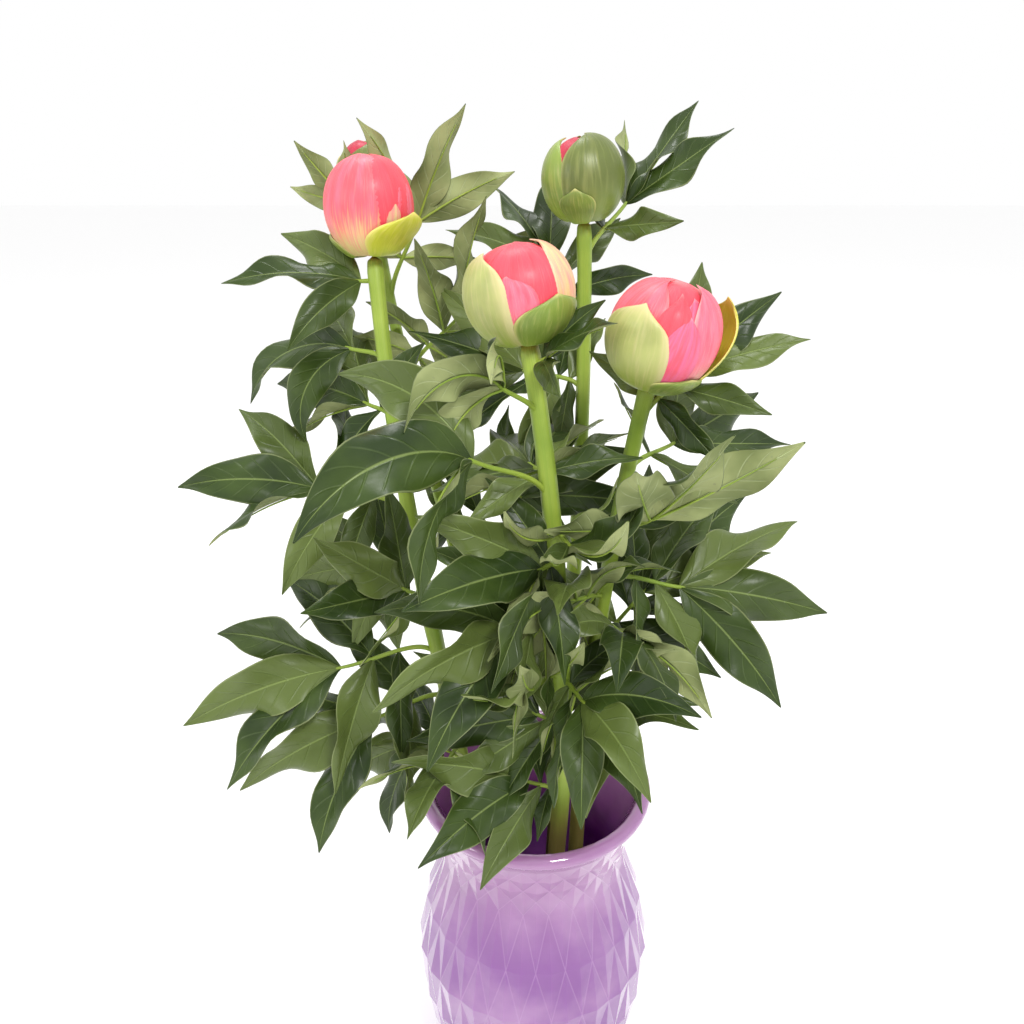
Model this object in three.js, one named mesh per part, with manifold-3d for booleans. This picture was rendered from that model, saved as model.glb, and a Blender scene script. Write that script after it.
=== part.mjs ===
// Five budding peony stems standing in a pressed-glass vase with a rolled lip.
// Millimetres, +Z up, front towards -Y. The origin is the centre of the vase's flat foot.
// Every leaf, stem, petal ball, outer petal and sepal is its own closed solid, with a small gap to its neighbours.
import * as THREE from "three";
import { mergeVertices } from "three/addons/utils/BufferGeometryUtils.js";
import Module from "manifold-3d";

const wasm = await Module();
wasm.setup();

// ---- Driving dimensions ----

const GAP = 0.3; // between any two pieces
const LEAF_GAP = 0.5; // between two leaves
const EDGE_GAP = 1.5; // how far a leaf keeps sideways from another leaf's sharp edge

const VASE = {
  height: 190,
  rimRadius: 58,
  lipThickness: 7,
  waistRadius: 46,
  waistHeight: 148,
  bellyRadius: 61,
  bellyHeight: 88,
  footRadius: 45,
  footHeight: 5,
  wall: 4,
  floor: 9,
  sides: 36,
};

const STEM = { radius: 3.7, sides: 8, steps: 10 };
const PETIOLE = { radius: 1.2, sides: 5, steps: 4, intoBlade: 3 };
const LEAFLET = { widthShare: 0.34, midrib: 1.2, fold: 0.5, steps: 5, twist: 70, ownRoll: 55 };
const BUD = { petalThickness: 1.1, sepalThickness: 1.3, layerGap: 1.1, room: 1.8, sides: 12, rings: 8, neckAngle: 156 };
const STANDING_OFF = 1; // clearance of a stem to the vase's waist

// Where each stem stands and what it carries. foot and mouth are shares of the free radius at the waist, in x and y.
// lean and top are x, y and height above the rim. tilt leans the bud's axis, in degrees towards x and y.
const STEMS = {
  left: {
    foot: [-0.38, -0.1],
    mouth: [-0.9, -0.22],
    lean: [-64, 8, 145],
    top: [-72, 45, 248],
    bud: { radius: 20.5, halfHeight: 23, tilt: [-4, 6] },
  },
  back_left: {
    foot: [-0.22, 0.38],
    mouth: [-0.42, 0.52],
    lean: [-60, 60, 140],
    top: [-80, 98, 268],
    bud: { radius: 13.5, halfHeight: 15.5, tilt: [-8, 10] },
  },
  front: {
    foot: [0.1, -0.44],
    mouth: [0.3, -0.78],
    lean: [10, -34, 140],
    top: [-5, -8, 222],
    bud: { radius: 22.5, halfHeight: 21.5, tilt: [-10, 4] },
  },
  back_right: {
    foot: [0.16, 0.22],
    mouth: [0.35, 0.4],
    lean: [26, 52, 140],
    top: [21, 60, 262],
    bud: { radius: 18.5, halfHeight: 19.5, tilt: [-4, 2] },
  },
  right: {
    foot: [0.5, -0.1],
    mouth: [0.56, -0.5],
    lean: [33, 10, 130],
    top: [43, -15, 207],
    bud: { radius: 23, halfHeight: 23, tilt: [12, -6] },
  },
};

// One row a leaf: stem, share of the stem's height above the rim, azimuth (0 is +X, 90 is +Y) and rise in degrees,
// petiole and leaflet length, number of leaflets, roll about its own line and droop in degrees.
const LEAVES = [
  ["front", 0.59, -135, 10, 10, 68, 5, -55, 17],
  ["front", 0.71, -145, 35, 46, 80, 3, -50, 80],
  ["front", 0.86, -140, 40, 26, 54, 3, 80, 110],
  ["front", 0.95, -50, 35, 8, 42, 3, 45, 20],
  ["front", 0.66, -65, -5, 14, 50, 5, 10, -80],
  ["front", 0.36, -130, 10, 22, 50, 5, 38, -30],
  ["front", 0.47, -145, 10, 24, 70, 7, -62, 40],
  ["front", 0.34, -70, 12, 22, 60, 7, 50, 45],
  ["front", 0.06, -165, 35, 20, 68, 7, -45, 30],
  ["front", 0.23, 170, 30, 14, 64, 7, -65, 10],
  ["front", 0.74, 105, 0, 28, 66, 9, -18, 15],
  ["right", 0.5, -130, 25, 24, 62, 7, 64, 75],
  ["right", 0.54, 5, -5, 34, 76, 7, 55, 20],
  ["right", 0.44, -70, 22, 26, 56, 7, -35, 60],
  ["right", 0.63, -65, 40, 36, 76, 5, 2, -10],
  ["right", 0.79, 40, 15, 30, 62, 5, 32, 0],
  ["right", 0.9, 20, 45, 30, 54, 7, 45, 10],
  ["right", 0.24, -75, 25, 20, 56, 7, 30, 50],
  ["right", 0.36, 40, 40, 40, 72, 9, 40, 20],
  ["left", 0.95, -170, 10, 8, 58, 3, -35, 25],
  ["left", 0.82, 160, 15, 18, 66, 3, -40, 80],
  ["left", 0.72, 140, 15, 18, 62, 5, -50, 25],
  ["left", 0.55, 170, 15, 44, 68, 7, -50, 30],
  ["left", 0.46, 155, -10, 24, 56, 7, -53, 15],
  ["left", 0.39, -135, 45, 18, 60, 5, -85, 0],
  ["left", 0.29, -175, -5, 46, 80, 7, -46, 29],
  ["left", 0.2, -170, -10, 36, 74, 5, -48, 35],
  ["left", 0.11, 160, -20, 22, 60, 5, -55, 40],
  ["left", 0.09, -105, 18, 20, 54, 5, -20, 40],
  ["back_left", 0.95, -165, 45, 16, 38, 3, 40, -10],
  ["back_left", 0.81, -5, 70, 44, 58, 5, -60, 15],
  ["back_left", 0.68, 20, 50, 42, 62, 9, -75, 20],
  ["back_left", 0.4, -10, 40, 44, 66, 9, 62, 20],
  ["back_right", 0.92, 30, 50, 34, 60, 5, 10, 0],
  ["back_right", 0.82, 130, 45, 36, 60, 7, -30, 20],
  ["back_right", 0.7, 175, 20, 30, 62, 9, -55, 10],
];

// How leaflets spread from a petiole: angle from its line, share of the petiole back from its end, share of full length.
const SPREADS = {
  1: [[0, 0, 1]],
  3: [[0, 0, 1], [46, 0, 0.86], [-46, 0, 0.86]],
  5: [[0, 0, 1], [38, 0, 0.9], [-38, 0, 0.9], [72, 0.45, 0.7], [-72, 0.45, 0.7]],
  7: [[0, 0, 1], [34, 0, 0.92], [-34, 0, 0.92], [62, 0.3, 0.8], [-62, 0.3, 0.8], [88, 0.55, 0.66], [-88, 0.55, 0.66]],
  9: [
    [0, 0, 1],
    [32, 0, 0.94],
    [-32, 0, 0.94],
    [56, 0.25, 0.84],
    [-56, 0.25, 0.84],
    [78, 0.5, 0.74],
    [-78, 0.5, 0.74],
    [100, 0.7, 0.6],
    [-100, 0.7, 0.6],
  ],
};

// Each bud's loose pieces: azimuth and width in degrees, and how far from the tip they start, as an angle.
const OUTER_PETALS = {
  left: [[-60, 150, 34]],
  front: [[-100, 120, 30]],
  right: [[-75, 130, 26]],
};
const SEPALS = {
  left: [[-35, 120, 112], [150, 110, 115]],
  back_left: [[-60, 150, 52], [95, 150, 46]],
  front: [[-168, 120, 62], [-45, 110, 98]],
  back_right: [[-168, 86, 60], [-30, 170, 22]],
  right: [[-140, 110, 72], [-38, 78, 112]],
};

const COLOURS = {
  glass: { color: 0xb487c6, roughness: 0.15, metalness: 0 },
  stem: { color: 0x8fae3c, roughness: 0.5, metalness: 0 },
  leaf: { color: 0x3f6a2c, roughness: 0.45, metalness: 0 },
  sepal: { color: 0xa9bd58, roughness: 0.45, metalness: 0 },
  petal: { color: 0xf2727f, roughness: 0.5, metalness: 0 },
};

// ---- Helpers ----

const radians = THREE.MathUtils.degToRad;
const UP = new THREE.Vector3(0, 0, 1);

// A repeatable offset from -1 to 1 for leaf i and its piece k.
const wobble = (i, k) => ((i * 37 + k * 101) % 19) / 9 - 1;

// A three.js geometry as a solid.
function solidOf(geometry) {
  const bare = geometry.clone();
  bare.deleteAttribute("normal");
  bare.deleteAttribute("uv");
  const merged = mergeVertices(bare, 1e-4);
  return new wasm.Manifold(
    new wasm.Mesh({
      numProp: 3,
      vertProperties: new Float32Array(merged.attributes.position.array),
      triVerts: new Uint32Array(merged.index.array),
    }),
  );
}

// A solid as a three.js geometry.
function geometryOf(solid) {
  const mesh = solid.getMesh();
  const geometry = new THREE.BufferGeometry();
  geometry.setAttribute("position", new THREE.BufferAttribute(mesh.vertProperties, 3));
  geometry.setIndex(new THREE.BufferAttribute(mesh.triVerts, 1));
  geometry.computeVertexNormals();
  return geometry;
}

// Moves each vertex of a geometry to where place(vertex) says.
function reshaped(geometry, place) {
  const position = geometry.attributes.position;
  const vertex = new THREE.Vector3();
  for (let i = 0; i < position.count; i++) {
    const { x, y, z } = place(vertex.fromBufferAttribute(position, i));
    position.setXYZ(i, x, y, z);
  }
  return geometry;
}

// A round bar along a curve.
function bar(curve, radius, sides, steps) {
  const section = new THREE.Shape(
    new THREE.EllipseCurve(0, 0, radius, radius, 0, 2 * Math.PI).getSpacedPoints(sides).slice(0, sides),
  );
  return solidOf(new THREE.ExtrudeGeometry(section, { steps, extrudePath: curve }));
}

const heading = (azimuth, rise) =>
  new THREE.Vector3(
    Math.cos(radians(azimuth)) * Math.cos(radians(rise)),
    Math.sin(radians(azimuth)) * Math.cos(radians(rise)),
    Math.sin(radians(rise)),
  );

const turned = (vector, axis, degrees) => vector.clone().applyAxisAngle(axis, radians(degrees));

// How near a solid's closest corner is to a point.
function nearness(solid, point) {
  const position = geometryOf(solid).attributes.position;
  const corner = new THREE.Vector3();
  let nearest = Infinity;
  for (let i = 0; i < position.count; i++)
    nearest = Math.min(nearest, corner.fromBufferAttribute(position, i).distanceTo(point));
  return nearest;
}

// Of the bodies that a cut leaves, the one that still grows from a point.
function bodyAt(solid, point) {
  const bodies = solid.decompose();
  const distances = bodies.map((body) => nearness(body, point));
  return bodies[distances.indexOf(Math.min(...distances))];
}

// ---- Vase ----

// The outer outline from the foot to the lip, moved outwards by grow.
function vaseOutline(grow = 0) {
  const v = VASE;
  const wallLine = new THREE.SplineCurve([
    new THREE.Vector2(v.footRadius, v.footHeight),
    new THREE.Vector2((v.footRadius + v.bellyRadius) / 2 + 3, (v.footHeight + v.bellyHeight) * 0.42),
    new THREE.Vector2(v.bellyRadius, v.bellyHeight),
    new THREE.Vector2((v.bellyRadius + v.waistRadius) / 2 + 1, (v.bellyHeight + v.waistHeight) / 2),
    new THREE.Vector2(v.waistRadius, v.waistHeight),
    new THREE.Vector2(v.rimRadius - 4, v.height - v.lipThickness * 1.6),
  ]);
  return wallLine.getPoints(10).map((p) => new THREE.Vector2(p.x + grow, p.y));
}

function vaseSolid(grow = 0) {
  const v = VASE;
  const outer = vaseOutline(grow);
  const lipRadius = v.lipThickness / 2;
  const lipCentre = new THREE.Vector2(v.rimRadius - lipRadius, v.height - lipRadius);
  const lip = new THREE.EllipseCurve(
    lipCentre.x, lipCentre.y, lipRadius + grow, lipRadius + grow, radians(-50), radians(190),
  ).getPoints(6);
  const inner = vaseOutline(-v.wall - grow)
    .filter((p) => p.y > v.floor + 2)
    .reverse();
  const profile = [
    new THREE.Vector2(0, -grow),
    new THREE.Vector2(v.footRadius - 2 + grow, -grow),
    new THREE.Vector2(v.footRadius + grow, 2 - grow),
    ...outer,
    ...lip,
    ...inner,
    new THREE.Vector2(v.footRadius - v.wall - grow, v.floor + grow),
    new THREE.Vector2(0, v.floor + grow),
  ];
  const turnedUp = new THREE.LatheGeometry(profile, v.sides).rotateX(Math.PI / 2);
  return solidOf(turnedUp);
}

// ---- Stems ----

// A stem's line: straight inside the vase, then one smooth bend up to its bud.
function stemPath(name) {
  const stem = STEMS[name];
  const free = VASE.waistRadius - VASE.wall - STEM.radius - STANDING_OFF;
  const foot = new THREE.Vector3(stem.foot[0] * free, stem.foot[1] * free, VASE.floor + 2 * GAP + 1);
  const mouth = new THREE.Vector3(stem.mouth[0] * free, stem.mouth[1] * free, VASE.height);
  const top = new THREE.Vector3(stem.top[0], stem.top[1], VASE.height + stem.top[2]);
  const lean = new THREE.Vector3(stem.lean[0], stem.lean[1], VASE.height + stem.lean[2]);
  const onward = mouth.clone().sub(foot).setLength(stem.top[2] / 4).add(mouth);
  const path = new THREE.CurvePath();
  path.add(new THREE.LineCurve3(foot, mouth));
  path.add(new THREE.CubicBezierCurve3(mouth, onward, lean, top));
  return path;
}

const stemSolid = (name, grow = 0) =>
  bar(stemPath(name), STEM.radius + grow, STEM.sides, STEM.steps);

// The point and direction of a stem at a share of its height above the rim.
function onStem(name, share) {
  const bend = stemPath(name).curves[1];
  const height = VASE.height + share * STEMS[name].top[2];
  let low = 0;
  let high = 1;
  for (let i = 0; i < 30; i++) {
    const middle = (low + high) / 2;
    if (bend.getPoint(middle).z < height) low = middle;
    else high = middle;
  }
  return { point: bend.getPoint(low), along: bend.getTangent(low) };
}

// ---- Buds ----

// A bud's axis and centre. Its base sits on the stem's top, a gap away.
function budFrame(name) {
  const { bud } = STEMS[name];
  const top = stemPath(name).getPoint(1);
  const turn = new THREE.Quaternion()
    .setFromAxisAngle(new THREE.Vector3(0, 1, 0), radians(bud.tilt[0]))
    .multiply(new THREE.Quaternion().setFromAxisAngle(new THREE.Vector3(1, 0, 0), radians(-bud.tilt[1])));
  const axis = UP.clone().applyQuaternion(turn);
  const centre = top.clone().addScaledVector(axis, bud.halfHeight + GAP - LAYERS);
  return { centre, turn, bud };
}

// The point on a bud at an azimuth and an angle from its tip, in degrees, a distance outside the petal ball.
function onBud(name, azimuth, angle, outwards) {
  const { centre, turn, bud } = budFrame(name);
  const around = radians(azimuth);
  const down = radians(angle);
  const radius = (bud.radius + outwards) * Math.sin(down) ** 0.9;
  return new THREE.Vector3(
    radius * Math.cos(around),
    radius * Math.sin(around),
    (bud.halfHeight + outwards) * Math.cos(down),
  ).applyQuaternion(turn).add(centre);
}

const LAYERS = BUD.petalThickness + BUD.sepalThickness + 2 * BUD.layerGap;

// The ball of closed petals inside the outer ones.
function petalBall(name, grow = 0) {
  const skin = grow - LAYERS;
  const sphere = new THREE.SphereGeometry(1, BUD.sides, BUD.rings);
  return solidOf(
    reshaped(sphere, (p) => {
      const angle = THREE.MathUtils.radToDeg(Math.acos(THREE.MathUtils.clamp(p.y, -1, 1)));
      return onBud(name, THREE.MathUtils.radToDeg(Math.atan2(p.x, p.z)), angle, skin);
    }),
  );
}

// One petal or sepal: a curved plate on the bud, rounded at its free end.
function budPlate(name, [azimuth, width, start], inside, thickness) {
  const plate = new THREE.BoxGeometry(2, 1, 1, 6, 6, 1);
  return solidOf(
    reshaped(plate, (p) => {
      const along = p.y + 0.5;
      const across = (width / 2) * Math.sqrt(Math.max(0.02, 1 - along ** 3)) * p.x;
      const angle = BUD.neckAngle + (start - BUD.neckAngle) * along * (1 - 0.1 * p.x * p.x);
      return onBud(name, azimuth + across, angle, inside + (p.z + 0.5) * thickness);
    }),
  );
}

const outerPetal = (name, row) =>
  budPlate(name, row, BUD.layerGap - LAYERS, BUD.petalThickness);
const sepal = (name, row) => budPlate(name, row, -BUD.sepalThickness, BUD.sepalThickness);

// ---- Leaves ----

// A leaflet's half width at a share of its length.
const bladeHalfWidth = (length, share) =>
  0.5 * LEAFLET.widthShare * length * Math.sin(Math.PI * share ** 0.8) ** 1.15;

// A leaflet's midrib, as points with a direction and an upper-side normal, bending down under its weight.
function midrib(base, direction, normal, length, droop, twist) {
  const points = 24;
  const down = UP.clone().negate().addScaledVector(direction, direction.z);
  if (down.length() < 0.05) down.copy(normal).negate();
  const hinge = new THREE.Vector3().crossVectors(direction, down.normalize());
  const stations = [];
  const point = base.clone();
  for (let i = 0; i <= points; i++) {
    const share = i / points;
    const along = turned(direction, hinge, droop * share);
    const up = turned(turned(normal, hinge, droop * share), along, twist * share);
    stations.push({ point: point.clone(), along, up });
    point.addScaledVector(along, length / points);
  }
  return stations;
}

// A folded blade with sharp edges about its midrib: a four-sided ball stretched along it.
function leafletSolid(stations, length, grow) {
  const blade = new THREE.SphereGeometry(1, 4, LEAFLET.steps);
  return solidOf(
    reshaped(blade, (p) => {
      const share = Math.acos(THREE.MathUtils.clamp(p.y, -1, 1)) / Math.PI;
      const reach = Math.hypot(p.x, p.z);
      const step = Math.min(stations.length - 1, Math.round(share * (stations.length - 1)));
      const { point, along, up } = stations[step];
      if (reach < 1e-6) return point.clone().addScaledVector(along, (share - 0.5) * 2 * grow);
      const side = new THREE.Vector3().crossVectors(up, along);
      const half = bladeHalfWidth(length, share) + (grow ? EDGE_GAP : 0);
      const across = (p.x / reach) * half;
      const rise = Math.abs(across) * LEAFLET.fold + (p.z / reach) * (LEAFLET.midrib / 2 + grow);
      return point.clone().addScaledVector(side, across).addScaledVector(up, rise);
    }),
  );
}

// The petiole's curve and each leaflet's base, direction and length, for row i of the leaves.
function leafPlan(row, i) {
  const [stem, share, azimuth, rise, petiole, length, count, roll, droop] = row;
  const { point, along } = onStem(stem, share);
  const line = heading(azimuth, rise);
  const up = turned(heading(azimuth, rise + 90), line, roll);
  const stalk = new THREE.CubicBezierCurve3(
    point,
    point.clone().addScaledVector(along, petiole * 0.3).addScaledVector(line, petiole * 0.1),
    point.clone().addScaledVector(line, petiole * 0.65),
    point.clone().addScaledVector(line, petiole + PETIOLE.intoBlade),
  );
  const bladeShare = petiole / (petiole + PETIOLE.intoBlade);
  const leaflets = SPREADS[count].map(([angle, back, size], k) => {
    const direction = turned(line, up, angle + 5 * wobble(i, k));
    const ownRoll = LEAFLET.ownRoll * wobble(i + 5, k) * (k ? 1 : 0.4);
    const bladeLength = length * size * (1 + 0.06 * wobble(i + 3, k));
    const stations = midrib(
      stalk.getPoint((1 - back * 0.9) * bladeShare),
      direction,
      turned(up, direction, ownRoll),
      bladeLength,
      droop * (1 + 0.25 * wobble(i + 7, k)),
      LEAFLET.twist * wobble(i + 11, k),
    );
    return { stations, bladeLength };
  });
  return { stalk, leaflets };
}

// A whole leaf, its blades and its petiole in one solid.
function leafSolid(plan, grow = 0) {
  const stalk = bar(plan.stalk, PETIOLE.radius + grow, PETIOLE.sides, PETIOLE.steps);
  return plan.leaflets.reduce(
    (leaf, { stations, bladeLength }) => leaf.add(leafletSolid(stations, bladeLength, grow)),
    stalk,
  );
}

// ---- The bouquet ----

const bouquet = new THREE.Group();

function place(name, solid, colour) {
  const mesh = new THREE.Mesh(geometryOf(solid), new THREE.MeshStandardMaterial(COLOURS[colour]));
  mesh.name = name;
  bouquet.add(mesh);
}

place("vase", vaseSolid(), "glass");
let taken = vaseSolid(GAP);

for (const name of Object.keys(STEMS)) {
  place(`stem_${name}`, stemSolid(name), "stem");
  place(`bud_${name}_petal_ball`, petalBall(name), "petal");
  taken = taken.add(stemSolid(name, GAP)).add(petalBall(name, LAYERS + BUD.room));
}

for (const [name, rows] of Object.entries(OUTER_PETALS))
  rows.forEach((row, i) => place(`bud_${name}_outer_petal_${i + 1}`, outerPetal(name, row), "petal"));

for (const [name, rows] of Object.entries(SEPALS))
  rows.forEach((row, i) => place(`bud_${name}_sepal_${i + 1}`, sepal(name, row), "sepal"));

LEAVES.forEach((row, i) => {
  const plan = leafPlan(row, i);
  const leaf = bodyAt(leafSolid(plan).subtract(taken), plan.stalk.getPoint(0));
  taken = taken.add(leafSolid(plan, LEAF_GAP));
  place(`leaf_${row[0]}_${String(i + 1).padStart(2, "0")}`, leaf, "leaf");
});

export default bouquet;
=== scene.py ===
"""Five budding peony stems in a pressed-glass vase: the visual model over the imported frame.

Lengths are in millimetres until a mesh is made, and angles are in degrees.
Azimuth 0 is +X, and azimuth 90 is +Y, away from the front.
"""

import math

import bpy
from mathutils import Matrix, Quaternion, Vector


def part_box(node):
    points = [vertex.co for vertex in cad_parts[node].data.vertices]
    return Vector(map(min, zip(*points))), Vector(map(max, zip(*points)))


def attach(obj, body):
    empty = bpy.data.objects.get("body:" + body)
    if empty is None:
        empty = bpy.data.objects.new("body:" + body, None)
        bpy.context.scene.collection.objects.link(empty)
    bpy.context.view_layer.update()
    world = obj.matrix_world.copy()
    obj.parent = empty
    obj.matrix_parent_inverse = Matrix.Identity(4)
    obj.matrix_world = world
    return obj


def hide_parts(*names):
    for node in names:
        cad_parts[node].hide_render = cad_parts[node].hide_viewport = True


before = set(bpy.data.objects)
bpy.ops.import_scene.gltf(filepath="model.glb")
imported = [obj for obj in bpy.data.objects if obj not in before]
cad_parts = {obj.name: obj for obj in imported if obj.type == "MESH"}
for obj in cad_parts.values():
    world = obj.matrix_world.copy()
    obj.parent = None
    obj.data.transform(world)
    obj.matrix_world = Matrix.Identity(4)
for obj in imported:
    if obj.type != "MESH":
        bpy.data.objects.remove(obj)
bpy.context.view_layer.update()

MM = 0.001
UP = Vector((0, 0, 1))

# ---- Sizes ----

VASE_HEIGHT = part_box("vase")[1].z / MM
VASE_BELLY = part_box("vase")[1].x / MM
VASE = {
    "rim": VASE_BELLY * 0.95,
    "lip": 7.0,
    "waist": VASE_BELLY * 0.755,
    "waist_height": 147.0,
    "foot": VASE_BELLY * 0.74,
    "wall": 4.0,
    "floor": 9.0,
    "diamonds": 24,
    "relief": 0.8,
    "lip_drop": 9,
}

STEM_SIDES = 20
STEM_RIDGES = 5
STEM_PLAN_RADIUS = 3.7
STEM_GAP = 1.0

PETIOLE_RADIUS = 1.15
INTO_BLADE = 3.0
LEAFLET_WIDTH = 0.34
LEAFLET_TWIST = 70
LEAFLET_ROLL = 55
LEAFLET_THICKNESS = 0.55
LEAFLET_RIB = 0.75
MIDRIB_STEPS = 24
LEAF_GLASS_GAP = 2.0
BLADE_TOP, BLADE_UNDER, BLADE_RIB = range(3)

NECK_ANGLE = 156
NECK_OVERLAP = 3.5
HEART_DEPTH = 2.3

# radius of the stem; foot and mouth as shares of the free radius in the vase's waist;
# lean and top as x, y and height above the rim; the bud's radius, half height and tilts
STEMS = {
    "left": {
        "radius": 3.8,
        "foot": (-0.38, -0.1),
        "mouth": (-0.9, -0.22),
        "lean": (-64, 8, 145),
        "top": (-72, 45, 248),
        "bud": (20.5, 23, (-4, 6)),
    },
    "back_left": {
        "radius": 3.2,
        "foot": (-0.22, 0.38),
        "mouth": (-0.42, 0.52),
        "lean": (-60, 60, 140),
        "top": (-80, 98, 268),
        "bud": (13.5, 15.5, (-8, 10)),
    },
    "front": {
        "radius": 4.1,
        "foot": (0.1, -0.44),
        "mouth": (0.3, -0.78),
        "lean": (10, -34, 140),
        "top": (-5, -8, 222),
        "bud": (22.5, 21.5, (-10, 4)),
    },
    "back_right": {
        "radius": 3.6,
        "foot": (0.16, 0.22),
        "mouth": (0.35, 0.4),
        "lean": (26, 52, 140),
        "top": (21, 60, 262),
        "bud": (18.5, 19.5, (-4, 2)),
    },
    "right": {
        "radius": 3.6,
        "foot": (0.5, -0.1),
        "mouth": (0.56, -0.5),
        "lean": (33, 10, 130),
        "top": (43, -15, 207),
        "bud": (23, 23, (12, -6)),
    },
}

# stem, share of its height above the rim, azimuth, rise, petiole, leaflet length, leaflets, roll, droop
LEAVES = [
    ("front", 0.59, -135, 10, 10, 68, 5, -55, 17),
    ("front", 0.71, -145, 35, 46, 80, 3, -50, 80),
    ("front", 0.86, -140, 40, 26, 54, 3, 80, 110),
    ("front", 0.95, -50, 35, 8, 42, 3, 45, 20),
    ("front", 0.66, -65, -5, 14, 50, 5, 10, -80),
    ("front", 0.36, -130, 10, 22, 50, 5, 38, -30),
    ("front", 0.47, -145, 10, 24, 70, 7, -62, 40),
    ("front", 0.34, -70, 12, 22, 60, 7, 50, 45),
    ("front", 0.06, -165, 35, 20, 68, 7, -45, 30),
    ("front", 0.23, 170, 30, 14, 64, 7, -65, 10),
    ("front", 0.74, 105, 0, 28, 66, 9, -18, 15),
    ("right", 0.5, -130, 25, 24, 62, 7, 64, 75),
    ("right", 0.54, 5, -5, 34, 76, 7, 55, 20),
    ("right", 0.44, -70, 22, 26, 56, 7, -35, 60),
    ("right", 0.63, -65, 40, 36, 76, 5, 2, -10),
    ("right", 0.79, 40, 15, 30, 62, 5, 32, 0),
    ("right", 0.9, 20, 45, 30, 54, 7, 45, 10),
    ("right", 0.24, -75, 25, 20, 56, 7, 30, 50),
    ("right", 0.36, 40, 40, 40, 72, 9, 40, 20),
    ("left", 0.95, -170, 10, 8, 58, 3, -35, 25),
    ("left", 0.82, 160, 15, 18, 66, 3, -40, 80),
    ("left", 0.72, 140, 15, 18, 62, 5, -50, 25),
    ("left", 0.55, 170, 15, 44, 68, 7, -50, 30),
    ("left", 0.46, 155, -10, 24, 56, 7, -53, 15),
    ("left", 0.39, -135, 45, 18, 60, 5, -85, 0),
    ("left", 0.29, -175, -5, 46, 80, 7, -46, 29),
    ("left", 0.2, -170, -10, 36, 74, 5, -48, 35),
    ("left", 0.11, 160, -20, 22, 60, 5, -55, 40),
    ("left", 0.09, -105, 18, 20, 54, 5, -20, 40),
    ("back_left", 0.95, -165, 45, 16, 38, 3, 40, -10),
    ("back_left", 0.81, -5, 70, 44, 58, 5, -60, 15),
    ("back_left", 0.68, 20, 50, 42, 62, 9, -75, 20),
    ("back_left", 0.4, -10, 40, 44, 66, 9, 62, 20),
    ("back_right", 0.92, 30, 50, 34, 60, 5, 10, 0),
    ("back_right", 0.82, 130, 45, 36, 60, 7, -30, 20),
    ("back_right", 0.7, 175, 20, 30, 62, 9, -55, 10),
]

# number of leaflets: angle from the petiole's line, share of the petiole back from its end,
# share of full length
SPREADS = {
    3: [(0, 0, 1), (46, 0, 0.86), (-46, 0, 0.86)],
    5: [(0, 0, 1), (38, 0, 0.9), (-38, 0, 0.9), (72, 0.45, 0.7), (-72, 0.45, 0.7)],
    7: [
        (0, 0, 1),
        (34, 0, 0.92),
        (-34, 0, 0.92),
        (62, 0.3, 0.8),
        (-62, 0.3, 0.8),
        (88, 0.55, 0.66),
        (-88, 0.55, 0.66),
    ],
    9: [
        (0, 0, 1),
        (32, 0, 0.94),
        (-32, 0, 0.94),
        (56, 0.25, 0.84),
        (-56, 0.25, 0.84),
        (78, 0.5, 0.74),
        (-78, 0.5, 0.74),
        (100, 0.7, 0.6),
        (-100, 0.7, 0.6),
    ],
}

# ---- Geometry helpers ----


def turned(vector, axis, degrees):
    """The vector turned about the axis."""
    return Quaternion(axis, math.radians(degrees)) @ vector


def heading(azimuth, rise):
    """The unit vector at an azimuth, rising from level by an angle."""
    a, r = math.radians(azimuth), math.radians(rise)
    return Vector((math.cos(a) * math.cos(r), math.sin(a) * math.cos(r), math.sin(r)))


def wobble(i, k):
    """A repeatable offset from -1 to 1 for piece k of leaf i."""
    return ((i * 37 + k * 101) % 19) / 9 - 1


def smooth(x):
    """An eased step: 0 up to 0, and 1 from 1 on."""
    x = min(1.0, max(0.0, x))
    return x * x * (3 - 2 * x)


def bezier(points, t):
    """The point at t on a cubic curve with four control points."""
    a, b, c, d = points
    s = 1 - t
    return a * s**3 + b * (3 * s * s * t) + c * (3 * s * t * t) + d * t**3


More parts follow.
